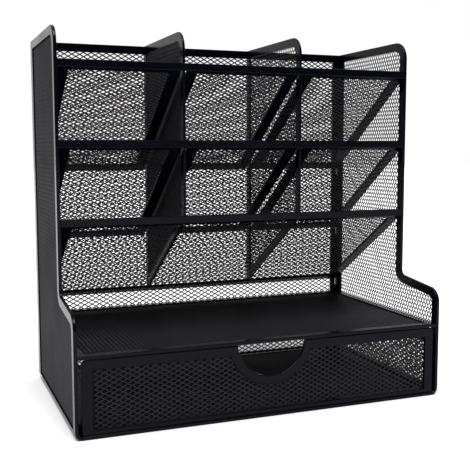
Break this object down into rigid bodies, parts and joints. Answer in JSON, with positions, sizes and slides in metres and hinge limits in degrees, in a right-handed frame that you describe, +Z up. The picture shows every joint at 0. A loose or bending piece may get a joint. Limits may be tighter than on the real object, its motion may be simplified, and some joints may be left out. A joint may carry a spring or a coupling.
{
  "type": "pen stand with drawer",
  "caption": "Desktop pen stand of black expanded-metal mesh bound in folded steel strips: slanted pockets in rows above an open shelf, over a sliding drawer with a finger notch.",
  "frame": {"origin": "middle of the footprint, on the plane the stand rests on", "axes": "+X to the right seen from the front, +Y to the back, +Z up"},
  "size_m": [0.255, 0.148, 0.25],
  "materials": {
    "bound_edge": "satin black powder coat",
    "mesh": "satin black powder coat",
    "drawer_edge": "satin black powder coat",
    "drawer_mesh": "satin black powder coat"
  },
  "bodies": {
    "stand": {"side_frame_left": "bound_edge", "side_mesh_left": "mesh", "divider_frame_left": "bound_edge", "divider_mesh_left": "mesh", "side_frame_right": "bound_edge", "side_mesh_right": "mesh", "divider_frame_right": "bound_edge", "divider_mesh_right": "mesh", "base_frame": "bound_edge", "base_mesh": "mesh", "back_frame": "bound_edge", "back_mesh": "mesh", "shelf_frame": "bound_edge", "shelf_mesh": "mesh", "pocket_hooks": "bound_edge", "shelf_stops": "bound_edge", "pocket_rim_top": "bound_edge", "pocket_frame_top": "bound_edge", "pocket_mesh_top": "mesh", "pocket_rim_middle": "bound_edge", "pocket_frame_middle": "bound_edge", "pocket_mesh_middle": "mesh", "pocket_rim_bottom": "bound_edge", "pocket_frame_bottom": "bound_edge", "pocket_mesh_bottom": "mesh"},
    "drawer": {"drawer_front_frame": "drawer_edge", "drawer_front_mesh": "drawer_mesh", "drawer_wall_frame_left": "drawer_edge", "drawer_wall_mesh_left": "drawer_mesh", "drawer_wall_frame_right": "drawer_edge", "drawer_wall_mesh_right": "drawer_mesh", "drawer_back_frame": "drawer_edge", "drawer_back_mesh": "drawer_mesh", "drawer_floor_frame": "drawer_edge", "drawer_floor_mesh": "drawer_mesh", "drawer_stops": "drawer_edge"}
  },
  "joints": [
    {"name": "drawer_slide", "type": "slide", "parent": "stand", "child": "drawer", "axis": [0, -1, 0], "range_m": [0, 0.11]}
  ]
}
